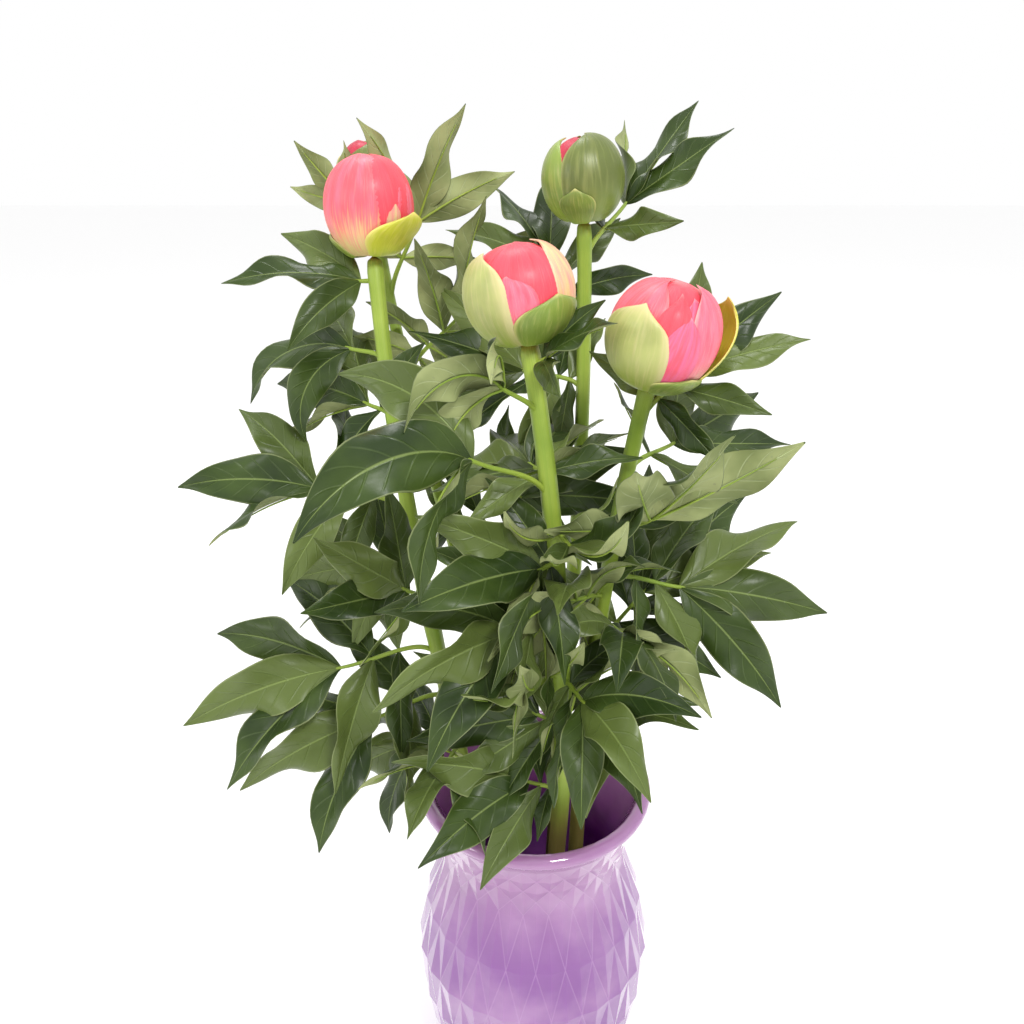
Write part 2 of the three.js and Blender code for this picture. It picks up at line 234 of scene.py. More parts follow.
class Mould:
    """Collects closed shells into one mesh, with a place on its own surface for every point."""

    def __init__(self):
        self.points = []
        self.places = []
        self.faces = []
        self.slots = []

    def point(self, position, across=0.0, along=0.0, seed=0.0):
        self.points.append(position * MM)
        self.places.append((across, along, seed))
        return len(self.points) - 1

    def face(self, corners, slot):
        self.faces.append(corners)
        self.slots.append(slot)

    def sheet(self, surface, columns, rows, thickness, slots, seed):
        """A thin closed shell: surface(across, along) gives a point and its upper normal."""
        sides = []
        for lift in (0.5, -0.5):
            grid = []
            for j in range(rows + 1):
                along = j / rows
                line = []
                for i in range(columns + 1):
                    across = 2 * i / columns - 1
                    position, normal = surface(across, along)
                    rim = (1 - across**6) * (1 - (2 * along - 1) ** 8)
                    offset = lift * thickness * (0.35 + 0.65 * rim)
                    line.append(self.point(position + normal * offset, across, along, seed))
                grid.append(line)
            sides.append(grid)
        top, under = sides
        for j in range(rows):
            for i in range(columns):
                a, b, c, d = top[j][i], top[j][i + 1], top[j + 1][i + 1], top[j + 1][i]
                self.face((a, b, c, d), slots[0])
                a, b, c, d = under[j][i], under[j][i + 1], under[j + 1][i + 1], under[j + 1][i]
                self.face((d, c, b, a), slots[1])
        for j in range(rows):
            self.face((top[j][0], top[j + 1][0], under[j + 1][0], under[j][0]), slots[0])
            self.face(
                (top[j + 1][columns], top[j][columns], under[j][columns], under[j + 1][columns]),
                slots[0],
            )
        for i in range(columns):
            self.face((top[0][i + 1], top[0][i], under[0][i], under[0][i + 1]), slots[0])
            self.face(
                (top[rows][i], top[rows][i + 1], under[rows][i + 1], under[rows][i]), slots[0]
            )

    def tube(self, path, radius, sides, slot, seed=0.0):
        """A closed bar along a list of points: radius(angle, along) in turns and shares."""
        last = len(path) - 1
        side = None
        rings = []
        for j, centre in enumerate(path):
            tangent = (path[min(j + 1, last)] - path[max(j - 1, 0)]).normalized()
            if side is None:
                side = tangent.orthogonal().normalized()
            side = (side - tangent * side.dot(tangent)).normalized()
            other = tangent.cross(side)
            ring = []
            for i in range(sides):
                angle = i / sides
                spoke = side * math.cos(2 * math.pi * angle) + other * math.sin(2 * math.pi * angle)
                place = centre + spoke * radius(angle, j / last)
                ring.append(self.point(place, 2 * angle - 1, j / last, seed))
            rings.append(ring)
        for lower, upper in zip(rings, rings[1:]):
            for i in range(sides):
                k = (i + 1) % sides
                self.face((lower[i], lower[k], upper[k], upper[i]), slot)
        self.face(tuple(reversed(rings[0])), slot)
        self.face(tuple(rings[-1]), slot)

    def made(self, name, materials, nodes, slot, levels=1):
        """The Blender piece, riding on the root and standing for its CAD nodes."""
        mesh = bpy.data.meshes.new(name)
        mesh.from_pydata(self.points, [], self.faces)
        attribute = mesh.attributes.new("place", "FLOAT_VECTOR", "POINT")
        attribute.data.foreach_set("vector", [value for place in self.places for value in place])
        for material in materials:
            mesh.materials.append(material)
        mesh.polygons.foreach_set("material_index", self.slots)
        mesh.polygons.foreach_set("use_smooth", [True] * len(mesh.polygons))
        mesh.update()
        piece = bpy.data.objects.new(name, mesh)
        bpy.context.scene.collection.objects.link(piece)
        if levels:
            subdivision = piece.modifiers.new("smooth", "SUBSURF")
            subdivision.levels = levels
            subdivision.render_levels = levels
        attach(piece, "root")
        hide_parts(*nodes)
        return piece


# ---- Materials ----


class Paint:
    """A procedural material: a Principled shader fed from the place attribute and noises."""

    def __init__(self, name, roughness, specular):
        self.material = bpy.data.materials.new(name)
        self.material.use_nodes = True
        self.tree = self.material.node_tree
        self.shader = self.tree.nodes["Principled BSDF"]
        self.shader.inputs["Roughness"].default_value = roughness
        self.shader.inputs["Specular IOR Level"].default_value = specular
        place = self.tree.nodes.new("ShaderNodeAttribute")
        place.attribute_name = "place"
        split = self.tree.nodes.new("ShaderNodeSeparateXYZ")
        self.tree.links.new(place.outputs["Vector"], split.inputs[0])
        self.across, self.along, self.seed = split.outputs
        self.solid = self.tree.nodes.new("ShaderNodeTexCoord").outputs["Object"]

    def math(self, operation, a, b=0.0, clamp=False):
        node = self.tree.nodes.new("ShaderNodeMath")
        node.operation = operation
        node.use_clamp = clamp
        for socket, value in zip(node.inputs, (a, b)):
            if isinstance(value, (int, float)):
                socket.default_value = value
            else:
                self.tree.links.new(value, socket)
        return node.outputs[0]

    def ramp(self, value, low, high):
        """0 at low, 1 at high, clamped."""
        node = self.tree.nodes.new("ShaderNodeMapRange")
        node.interpolation_type = "SMOOTHSTEP"
        self.tree.links.new(value, node.inputs["Value"])
        node.inputs["From Min"].default_value = min(low, high)
        node.inputs["From Max"].default_value = max(low, high)
        node.inputs["To Min"].default_value = 0.0 if low < high else 1.0
        node.inputs["To Max"].default_value = 1.0 if low < high else 0.0
        return node.outputs[0]

    def wash(self, value, low, high, strength):
        """A ramp from 0 to strength."""
        return self.math("MULTIPLY", self.ramp(value, low, high), strength)

    def noise(self, vector, scale, detail=3.0):
        node = self.tree.nodes.new("ShaderNodeTexNoise")
        node.inputs["Scale"].default_value = scale
        node.inputs["Detail"].default_value = detail
        self.tree.links.new(vector, node.inputs["Vector"])
        return node.outputs["Fac"]

    def streaks(self, columns, rows, scale, detail):
        """Noise drawn out along a plate, different for each seed."""
        across = self.math("MULTIPLY", self.across, columns)
        along = self.math("MULTIPLY", self.along, rows)
        return self.noise(self.vector(across, along, self.seed), scale, detail)

    def soft(self, weight, radius, scale):
        """Lets light a little way into the surface."""
        self.shader.inputs["Subsurface Weight"].default_value = weight
        self.shader.inputs["Subsurface Radius"].default_value = radius
        self.shader.inputs["Subsurface Scale"].default_value = scale

    def coat(self, weight, roughness):
        self.shader.inputs["Coat Weight"].default_value = weight
        self.shader.inputs["Coat Roughness"].default_value = roughness

    def vector(self, x, y, z):
        node = self.tree.nodes.new("ShaderNodeCombineXYZ")
        for socket, value in zip(node.inputs, (x, y, z)):
            if isinstance(value, (int, float)):
                socket.default_value = value
            else:
                self.tree.links.new(value, socket)
        return node.outputs[0]

    def mix(self, factor, a, b):
        node = self.tree.nodes.new("ShaderNodeMix")
        node.data_type = "RGBA"
        self.tree.links.new(factor, node.inputs["Factor"])
        for socket, value in ((node.inputs[6], a), (node.inputs[7], b)):
            if isinstance(value, tuple):
                socket.default_value = (*value, 1.0)
            else:
                self.tree.links.new(value, socket)
        return node.outputs[2]

    def bump(self, height, distance, strength=1.0):
        node = self.tree.nodes.new("ShaderNodeBump")
        node.inputs["Distance"].default_value = distance
        node.inputs["Strength"].default_value = strength
        self.tree.links.new(height, node.inputs["Height"])
        self.tree.links.new(node.outputs[0], self.shader.inputs["Normal"])

    def finished(self, colour, roughness=None):
        self.tree.links.new(colour, self.shader.inputs["Base Color"])
        if roughness is not None:
            self.tree.links.new(roughness, self.shader.inputs["Roughness"])
        return self.material


def leaf_veins(paint, count):
    """1 on the midrib and on the side veins that run out and forward from it, else 0."""
    out = paint.math("ABSOLUTE", paint.across)
    forward = paint.math("MULTIPLY", paint.along, count)
    slant = paint.math("MULTIPLY", out, 1.5)
    step = paint.math("FRACT", paint.math("SUBTRACT", forward, slant))
    gap = paint.math("ABSOLUTE", paint.math("SUBTRACT", step, 0.5))
    side = paint.math("MULTIPLY", paint.ramp(gap, 0.09, 0.0), paint.ramp(out, 0.95, 0.55))
    middle = paint.ramp(out, 0.06, 0.015)
    return middle, side


def leaf_top():
    paint = Paint("leaf_top", roughness=0.4, specular=0.3)
    middle, side = leaf_veins(paint, 8)
    tone = paint.noise(paint.solid, 35)
    green = paint.mix(paint.ramp(tone, 0.3, 0.7), (0.017, 0.034, 0.006), (0.042, 0.072, 0.011))
    varied = paint.mix(paint.ramp(paint.seed, 0.35, 1.0), green, (0.11, 0.15, 0.035))
    edge = paint.ramp(paint.math("ABSOLUTE", paint.across), 0.95, 1.0)
    veined = paint.mix(paint.math("MULTIPLY", side, 0.16), varied, (0.16, 0.23, 0.07))
    ribbed = paint.mix(paint.math("MULTIPLY", middle, 0.5), veined, (0.26, 0.34, 0.1))
    edged = paint.mix(paint.math("MULTIPLY", edge, 0.45), ribbed, (0.3, 0.34, 0.15))
    cells = paint.noise(paint.solid, 260, 2)
    lines = paint.math("ADD", paint.math("MULTIPLY", side, -0.7), middle)
    paint.bump(paint.math("ADD", lines, paint.math("MULTIPLY", cells, 0.5)), distance=0.0005, strength=0.6)
    gloss = paint.math("ADD", 0.26, paint.math("MULTIPLY", tone, 0.2))
    return paint.finished(edged, gloss)


def leaf_under():
    paint = Paint("leaf_under", roughness=0.65, specular=0.15)
    middle, side = leaf_veins(paint, 8)
    tone = paint.noise(paint.solid, 45)
    green = paint.mix(paint.ramp(tone, 0.3, 0.7), (0.17, 0.205, 0.075), (0.33, 0.365, 0.16))
    flecks = paint.noise(paint.solid, 320, 4)
    dusty = paint.mix(paint.wash(flecks, 0.66, 0.74, 0.35), green, (0.16, 0.17, 0.11))
    veined = paint.mix(paint.math("MULTIPLY", side, 0.4), dusty, (0.42, 0.48, 0.26))
    ribbed = paint.mix(middle, veined, (0.46, 0.54, 0.26))
    paint.bump(paint.math("ADD", paint.math("MULTIPLY", side, 0.6), middle), distance=0.0005, strength=0.6)
    return paint.finished(ribbed)


def stalk():
    """Stems and petioles: yellow-green, browner towards the foot, finely lined."""
    paint = Paint("stalk", roughness=0.42, specular=0.4)
    lines = paint.noise(paint.vector(paint.math("MULTIPLY", paint.across, 9), paint.along, 0), 3, 2)
    blotch = paint.noise(paint.solid, 30)
    green = paint.mix(paint.ramp(blotch, 0.3, 0.7), (0.2, 0.3, 0.03), (0.34, 0.44, 0.06))
    lined = paint.mix(paint.wash(lines, 0.4, 0.7, 0.4), green, (0.2, 0.33, 0.03))
    split = paint.tree.nodes.new("ShaderNodeSeparateXYZ")
    paint.tree.links.new(paint.solid, split.inputs[0])
    height = split.outputs[2]
    foot = paint.ramp(height, (VASE_HEIGHT + 25) * MM, (VASE_HEIGHT - 15) * MM)
    browned = paint.mix(paint.math("MULTIPLY", foot, 0.75), lined, (0.14, 0.075, 0.03))
    paint.bump(lines, distance=0.0004, strength=0.5)
    return paint.finished(browned)


def sepal_paint(name, body, base, edge, rim=0.35):
    """A waxy sepal: rim is the share of its width that fades to the edge's colour."""
    paint = Paint(name, roughness=0.38, specular=0.45)
    streak = paint.streaks(columns=6, rows=1.2, scale=2.5, detail=4)
    blotch = paint.noise(paint.solid, 55, 3)
    toned = paint.mix(paint.ramp(blotch, 0.3, 0.7), body, tuple(0.72 * c for c in body))
    based = paint.mix(paint.ramp(paint.along, 0.5, 0.0), toned, base)
    streaked = paint.mix(paint.wash(streak, 0.45, 0.75, 0.35), based, edge)
    side = paint.ramp(paint.math("ABSOLUTE", paint.across), 1 - rim, 1.0)
    tip = paint.ramp(paint.along, 1 - rim * 0.6, 1.0)
    border = paint.math("MAXIMUM", side, tip)
    edged = paint.mix(paint.math("MULTIPLY", border, 0.8), streaked, edge)
    paint.bump(paint.math("ADD", streak, blotch), distance=0.0005, strength=0.5)
    paint.soft(weight=0.15, radius=(0.004, 0.005, 0.002), scale=0.5)
    return paint.finished(edged)


def petal_paint(name, middle, tip, base, edge, streaks, base_reach=0.45):
    """A silky petal: base_reach is how far the base colour climbs, streaks how strong its lines are."""
    paint = Paint(name, roughness=0.44, specular=0.4)
    fine = paint.streaks(columns=14, rows=1.6, scale=3.0, detail=4)
    broad = paint.streaks(columns=3, rows=1.3, scale=2.0, detail=3)
    pink = paint.mix(paint.ramp(broad, 0.35, 0.65), middle, tip)
    ragged = paint.math("MULTIPLY", paint.math("SUBTRACT", fine, 0.5), 0.5)
    reach = paint.math("ADD", paint.along, ragged)
    based = paint.mix(paint.ramp(reach, base_reach, 0.05), pink, base)
    lined = paint.mix(paint.wash(fine, 0.5, 0.72, streaks), based, edge)
    side = paint.ramp(paint.math("ABSOLUTE", paint.across), 0.86, 1.0)
    border = paint.math("MAXIMUM", side, paint.ramp(paint.along, 0.93, 1.0))
    edged = paint.mix(paint.math("MULTIPLY", border, 0.6), lined, edge)
    paint.bump(paint.math("ADD", fine, broad), distance=0.0006, strength=0.5)
    paint.soft(weight=0.15, radius=(0.01, 0.004, 0.004), scale=0.5)
    paint.coat(weight=0.12, roughness=0.25)
    return paint.finished(edged)


def opal_glass():
    """Milky lilac glass with paler lines of painted highlight along its moulded edges: across is 0 on the
    moulded edges and 1 on the facets, along is the height.
    """
    paint = Paint("opal_glass", roughness=0.09, specular=0.6)
    cloud = paint.noise(paint.solid, 22, 4)
    swirl = paint.noise(paint.solid, 9, 2)
    body = paint.mix(paint.ramp(paint.along, 0.9, 0.6), (0.3, 0.14, 0.3), (0.2, 0.055, 0.26))
    milky = paint.mix(paint.wash(cloud, 0.42, 0.75, 0.5), body, (0.46, 0.28, 0.46))
    deep = paint.mix(paint.wash(swirl, 0.45, 0.7, 0.4), milky, (0.2, 0.045, 0.26))
    # painted highlight: the moulded edges (across near 0) are mixed towards a pale lilac that stands in
    # for light caught along the glass ridges
    edged = paint.mix(paint.wash(paint.across, 0.07, 0.0, 0.22), deep, (0.5, 0.3, 0.55))
    paint.soft(weight=0.3, radius=(0.02, 0.012, 0.02), scale=0.6)
    paint.coat(weight=0.6, roughness=0.03)
    return paint.finished(edged)


LEAF_TOP = leaf_top()
LEAF_UNDER = leaf_under()
STALK = stalk()
GLASS = opal_glass()

CORAL = petal_paint(
    "petal_coral",
    middle=(0.9, 0.1, 0.13),
    tip=(0.9, 0.14, 0.2),
    base=(0.8, 0.6, 0.24),
    edge=(0.92, 0.3, 0.3),
    streaks=0.3,
)
CORAL_DEEP = petal_paint(
    "petal_deep",
    middle=(0.9, 0.075, 0.11),
    tip=(0.86, 0.06, 0.09),
    base=(0.9, 0.28, 0.24),
    edge=(0.93, 0.28, 0.28),
    streaks=0.15,
    base_reach=0.12,
)
BLUSH = petal_paint(
    "petal_blush",
    middle=(0.9, 0.17, 0.25),
    tip=(0.9, 0.11, 0.17),
    base=(0.88, 0.6, 0.42),
    edge=(0.93, 0.45, 0.4),
    streaks=0.3,
)
ROSE = petal_paint(
    "petal_rose",
    middle=(0.9, 0.14, 0.28),
    tip=(0.9, 0.1, 0.16),
    base=(0.9, 0.42, 0.44),
    edge=(0.93, 0.4, 0.46),
    streaks=0.2,
    base_reach=0.25,
)
CREAM = petal_paint(
    "petal_cream",
    middle=(0.82, 0.56, 0.28),
    tip=(0.88, 0.3, 0.26),
    base=(0.64, 0.6, 0.16),
    edge=(0.9, 0.62, 0.4),
    streaks=0.4,
    base_reach=0.6,
)
CRIMSON = petal_paint(
    "petal_crimson",
    middle=(0.55, 0.025, 0.06),
    tip=(0.42, 0.02, 0.045),
    base=(0.55, 0.12, 0.1),
    edge=(0.7, 0.12, 0.16),
    streaks=0.2,
    base_reach=0.1,
)
SEPAL_PALE = sepal_paint(
    "sepal_pale",
    body=(0.47, 0.5, 0.16),
    base=(0.34, 0.44, 0.05),
    edge=(0.68, 0.58, 0.3),
)
SEPAL_LIME = sepal_paint(
    "sepal_lime",
    body=(0.62, 0.64, 0.05),
    base=(0.48, 0.56, 0.06),
    edge=(0.78, 0.68, 0.2),
    rim=0.2,
)
SEPAL_GREEN = sepal_paint(
    "sepal_green",
    body=(0.23, 0.32, 0.055),
    base=(0.28, 0.4, 0.05),
    edge=(0.55, 0.52, 0.18),
    rim=0.14,
)
SEPAL_OLIVE = sepal_paint(
    "sepal_olive",
    body=(0.15, 0.19, 0.04),
    base=(0.26, 0.35, 0.07),
    edge=(0.32, 0.34, 0.11),
    rim=0.12,
)

# ---- Vase ----


def vase_radius(height):
    """The outer radius of the glass below its lip: a smooth curve through the stops."""
    v = VASE
    stops = [
        (2.0, v["foot"]),
        (40.0, VASE_BELLY * 0.91),
        (88.0, VASE_BELLY * 0.992),
        (120.0, VASE_BELLY * 0.9),
        (v["waist_height"], v["waist"]),
        (164.0, VASE_BELLY * 0.795),
        (VASE_HEIGHT - v["lip_drop"], v["rim"] - 4.5),
    ]
    last = len(stops) - 1
    slopes = []
    for i in range(last + 1):
        before, after = stops[max(i - 1, 0)], stops[min(i + 1, last)]
        slopes.append((after[1] - before[1]) / (after[0] - before[0]))
    i = 0
    while i < last - 1 and height > stops[i + 1][0]:
        i += 1
    (low, low_radius), (high, high_radius) = stops[i], stops[i + 1]
    span = high - low
    t = min(1.0, max(0.0, (height - low) / span))
    return (
        low_radius * (2 * t**3 - 3 * t**2 + 1)
        + slopes[i] * span * (t**3 - 2 * t**2 + t)
        + high_radius * (-2 * t**3 + 3 * t**2)
        + slopes[i + 1] * span * (t**3 - t**2)
    )


def vase():
    """The glass: moulded diamonds outside, a rolled lip, and a plain open inside."""
    v = VASE
    count = v["diamonds"] * 2
    mould = Mould()

    def spoke(i):
        angle = math.pi * 2 * i / count
        return Vector((math.cos(angle), math.sin(angle), 0))

    def ring(radius, height):
        """A plain ring of points, with no moulded edge in it."""
        share = height / VASE_HEIGHT
        return [mould.point(spoke(i) * radius + UP * height, 1.0, share) for i in range(count)]

    def moulded_ring(j, height):
        """A ring whose every other point stands out as the middle of a diamond."""
        radius = vase_radius(height)
        relief = 0.0 if j == len(heights) - 1 else v["relief"]
        made = []
        for i in range(count):
            centre = (i + j) % 2 == 1
            reach = radius + (relief if centre else -relief * 0.4)
            angle = math.pi * 2 * i / count
            place = Vector((math.cos(angle) * reach, math.sin(angle) * reach, height))
            made.append(mould.point(place, 1.0 if centre else 0.0, height / VASE_HEIGHT))
        return made

    def band(lower, upper, start=None):
        """Faces between two rings, cut along the diamonds' edges where start is given."""
        for i in range(count):
            k = (i + 1) % count
            if start is None:
                mould.face((lower[i], lower[k], upper[k], upper[i]), 0)
            elif (i + start) % 2 == 0:
                mould.face((lower[i], lower[k], upper[k]), 0)
                mould.face((lower[i], upper[k], upper[i]), 0)
            else:
                mould.face((lower[i], lower[k], upper[i]), 0)
                mould.face((lower[k], upper[k], upper[i]), 0)

    neck_foot = v["waist_height"] - 2
    neck_top = VASE_HEIGHT - 12
    belly = [8 + i * (v["waist_height"] - 10) / 5 for i in range(6)]
    neck = [neck_foot + i * (neck_top - neck_foot) / 4 for i in range(1, 5)]
    heights = belly + neck
    foot = [ring(v["foot"] - 2, 0), ring(v["foot"], 1.5)]
    rings = foot + [moulded_ring(j, height) for j, height in enumerate(heights)]
    band(rings[0], rings[1])
    band(rings[1], rings[2])
    for j in range(len(foot), len(rings) - 1):
        band(rings[j], rings[j + 1], (j - len(foot)) % 2)

    lip = v["lip"] / 2
    lip_centre = (v["rim"] - lip, VASE_HEIGHT - lip)
    last = ring(v["rim"] - 5.2, VASE_HEIGHT - 9.5)
    band(rings[-1], last)
    for step in range(13):
        angle = math.radians(-65 + 21 * step)
        following = ring(
            lip_centre[0] + lip * math.cos(angle), lip_centre[1] + lip * math.sin(angle)
        )
        band(last, following)
        last = following

    floor_curve = v["floor"] + 3
    for height in [neck_top, 168, v["waist_height"], 120, 88, 50, 20, floor_curve]:
        following = ring(vase_radius(height) - v["wall"], height)
        band(last, following)
        last = following
    inner_floor = ring(vase_radius(floor_curve) - v["wall"] - 4, v["floor"])
    band(last, inner_floor)
    mould.face(tuple(inner_floor), 0)
    mould.face(tuple(reversed(rings[0])), 0)

    piece = mould.made("vase_glass", [GLASS], ["vase"], "vase_glass", levels=0)
    facets = range(count * 2, count * 2 + 2 * count * len(heights))
    for polygon in piece.data.polygons:
        polygon.use_smooth = polygon.index not in facets


# ---- Stems ----


def stem_ends(name):
    """A stem's foot in the vase, and the control points of its curve above the rim."""
    stem = STEMS[name]
    free = VASE["waist"] - VASE["wall"] - STEM_PLAN_RADIUS - STEM_GAP
    foot = Vector((*(c * free for c in stem["foot"]), VASE["floor"] + 1.6))
    mouth = Vector((*(c * free for c in stem["mouth"]), VASE_HEIGHT))
    lean = Vector((*stem["lean"][:2], VASE_HEIGHT + stem["lean"][2]))
    top = Vector((*stem["top"][:2], VASE_HEIGHT + stem["top"][2]))
    onward = mouth + (mouth - foot).normalized() * stem["top"][2] / 4
    return foot, (mouth, onward, lean, top)


def on_stem(name, share):
    """The point and direction of a stem at a share of its height above the rim."""
    bend = stem_ends(name)[1]
    height = VASE_HEIGHT + share * STEMS[name]["top"][2]
    low, high = 0.0, 1.0
    for _ in range(30):
        middle = (low + high) / 2
        if bezier(bend, middle).z < height:
            low = middle
        else:
            high = middle
    ahead = bezier(bend, min(1.0, low + 0.01)) - bezier(bend, max(0.0, low - 0.01))
    return bezier(bend, low), ahead.normalized()


def stem(name):
    """A ribbed stalk, straight in the vase and bent above it, with a node and a flared neck."""
    foot, bend = stem_ends(name)
    straight = [foot.lerp(bend[0], i / 6) for i in range(6)]
    path = straight + [bezier(bend, i / 22) for i in range(23)]
    base = STEMS[name]["radius"]

    def radius(angle, along):
        ridge = 0.05 * math.cos(2 * math.pi * STEM_RIDGES * angle + 3 * along)
        swell = 0.16 * math.exp(-(((along - 0.55) / 0.03) ** 2))
        flare = 0.22 * smooth((along - 0.955) / 0.045)
        return base * (1.04 - 0.14 * along + ridge + swell + flare)

    mould = Mould()
    mould.tube(path, radius, STEM_SIDES, 0)
    mould.made(f"stem_{name}_stalk", [STALK], [f"stem_{name}"], "stem")


# ---- Leaves ----


def half_width(length, share):
    """Half a leaflet's width at a share of its length."""
    return 0.5 * LEAFLET_WIDTH * length * math.sin(math.pi * share**0.8) ** 1.15


def midrib(base, direction, normal, length, droop, twist):
    """Points along a leaflet with their direction and upper side, bending down under its weight."""
    down = -UP + direction * direction.z
    if down.length < 0.05:
        down = -normal
    hinge = direction.cross(down.normalized())
    stations = []
    point = base.copy()
    for i in range(MIDRIB_STEPS + 1):
        share = i / MIDRIB_STEPS
        along = turned(direction, hinge, droop * share)
        up = turned(turned(normal, hinge, droop * share), along, twist * share)
        stations.append((point.copy(), along, up))
        point = point + along * (length / MIDRIB_STEPS)
    return stations


def clear_share(stations):
    """The share of a leaflet's length that it keeps before it would enter the glass."""
    above = VASE_HEIGHT + 3
    lip_foot = VASE_HEIGHT - 14
    for j, (point, _, _) in enumerate(stations):
        reach = math.hypot(point.x, point.y)
        outer = VASE["rim"] if point.z > lip_foot else vase_radius(point.z)
        inner = vase_radius(min(point.z, VASE_HEIGHT - VASE["lip_drop"])) - VASE["wall"]
        if point.z < above and inner - 2.5 < reach < outer + LEAF_GLASS_GAP:
            return max(0.3, 0.94 * j / MIDRIB_STEPS)
    return 1.0


def leaflet(mould, stations, length, seed, phase):
    """A folded, waved blade with a raised rib beneath."""
    fold, curl, wave_share, ripple_share = 0.62, 0.42, 0.5, 0.08

    def surface(across, along):
        point, forward, up = stations[round(along * MIDRIB_STEPS)]
        side = up.cross(forward)
        half = max(0.25, half_width(length, along))
        out = abs(across)
        wave = math.sin(2 * math.pi * (1.7 * along + phase) + (1.3 if across > 0 else 0))
        ripple = math.sin(2 * math.pi * (4.3 * along - 1.2 * out + phase * 3))
        folded = fold * out - curl * out * out
        rise = half * (folded + wave_share * wave * out * out + ripple_share * ripple * out)
        return point + side * (across * half) + up * rise, up

    mould.sheet(surface, 8, 12, LEAFLET_THICKNESS, (BLADE_TOP, BLADE_UNDER), seed)
    sink = 0.42
    spine = [stations[2 * j][0] - stations[2 * j][2] * sink for j in range(11)]
    mould.tube(spine, lambda angle, along: LEAFLET_RIB * (1 - 0.75 * along), 6, BLADE_RIB, seed)


def leaf(i, row):
    """A compound leaf: a stalk from its stem, and a spread of leaflets at the stalk's end."""
    name, share, azimuth, rise, petiole, length, count, roll, droop = row
    point, tangent = on_stem(name, share)
    line = heading(azimuth, rise)
    up = turned(heading(azimuth, rise + 90), line, roll)
    stalk_curve = (
        point,
        point + tangent * (petiole * 0.3) + line * (petiole * 0.1),
        point + line * (petiole * 0.65),
        point + line * (petiole + INTO_BLADE),
    )
    blade_share = petiole / (petiole + INTO_BLADE)
    mould = Mould()
    mould.tube(
        [bezier(stalk_curve, j / 10) for j in range(11)],
        lambda angle, along: PETIOLE_RADIUS * (1.25 - 0.5 * along),
        8,
        BLADE_RIB,
    )
    for k, (angle, back, size) in enumerate(SPREADS[count]):
        direction = turned(line, up, angle + 5 * wobble(i, k))
        own_roll = LEAFLET_ROLL * wobble(i + 5, k) * (1 if k else 0.4)
        blade = length * size * (1 + 0.06 * wobble(i + 3, k))
        base = bezier(stalk_curve, (1 - back * 0.9) * blade_share)
        normal = turned(up, direction, own_roll)
        bend = droop * (1 + 0.25 * wobble(i + 7, k))
        twist = LEAFLET_TWIST * wobble(i + 11, k)
        kept = clear_share(midrib(base, direction, normal, blade, bend, twist))
        blade *= kept
        stations = midrib(base, direction, normal, blade, bend * kept, twist * kept)
        tint = 0.5 + 0.5 * wobble(i + 2, k + 4)
        leaflet(mould, stations, blade, tint, wobble(i + 9, k))
    node = f"leaf_{name}_{i + 1:02d}"
    mould.made(f"{node}_blades", [LEAF_TOP, LEAF_UNDER, STALK], [node], "leaf")


# ---- Buds ----


def bud_frame(name):
    """A bud's centre, tilt, radius and half height."""
    radius, half_height, tilt = STEMS[name]["bud"]
    turn = Quaternion((0, 1, 0), math.radians(tilt[0])) @ Quaternion((1, 0, 0), math.radians(-tilt[1]))
    axis = turn @ UP
    top = stem_ends(name)[1][3]
    return top + axis * (half_height - NECK_OVERLAP), turn, radius, half_height


def on_bud(name, azimuth, angle, outwards):
    """A point outside a bud's ball, at an angle down from its tip."""
    centre, turn, radius, half_height = bud_frame(name)
    around, down = math.radians(azimuth), math.radians(min(179.0, max(0.0, angle)))
    reach = (radius + outwards) * math.sin(down) ** 0.9
    place = Vector(
        (reach * math.cos(around), reach * math.sin(around), (half_height + outwards) * math.cos(down))
    )
    return turn @ place + centre


def petal(mould, name, slot, azimuth, width, start, lift, opening, point, thickness, lean):
    """A curved plate on a bud, from its neck to the angle start from the tip, rounded at its free end.

    lift is its distance outside the ball, and opening how far its free end stands off.
    point is how pointed it is, and lean how far its free end swings round the bud in degrees.
    """
    centre = bud_frame(name)[0]

    def surface(across, along):
        taper = (1 - along**5) ** 0.5 if along < 1 else 0.0
        tip = max(0.1, taper * (1 - point * along))
        angle = NECK_ANGLE + (start - NECK_ANGLE) * along * (1 - 0.08 * across * across)
        hug = 0.9 * max(across**6, along**9)
        crease = 0.16 * math.sin(5 * across + 3 * azimuth) * along
        outwards = lift - hug + opening * smooth((along - 0.25) / 0.75) ** 1.3 + crease
        around = azimuth + width / 2 * tip * across + lean * along * along
        place = on_bud(name, around, angle, outwards)
        return place, (place - centre).normalized()

    mould.sheet(surface, 14, 12, thickness, (slot, slot), wobble(int(azimuth) % 97, int(start)))


def petal_ball(mould, name, slot):
    """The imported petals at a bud's heart, just inside its plates."""
    rings, sides = 12, 24
    lift = -HEART_DEPTH
    grid = [
        [
            mould.point(
                on_bud(name, 360 * i / sides, 180 * j / rings, lift), 2 * i / sides - 1, 1 - j / rings
            )
            for i in range(sides)
        ]
        for j in range(1, rings)
    ]
    for upper, lower in zip(grid, grid[1:]):
        for i in range(sides):
            k = (i + 1) % sides
            mould.face((upper[i], lower[i], lower[k], upper[k]), slot)
    top = mould.point(on_bud(name, 0, 0, lift), 0, 1)
    bottom = mould.point(on_bud(name, 0, 179, lift), 0, 0)
    for i in range(sides):
        k = (i + 1) % sides
        mould.face((top, grid[0][i], grid[0][k]), slot)
        mould.face((grid[-1][k], grid[-1][i], bottom), slot)


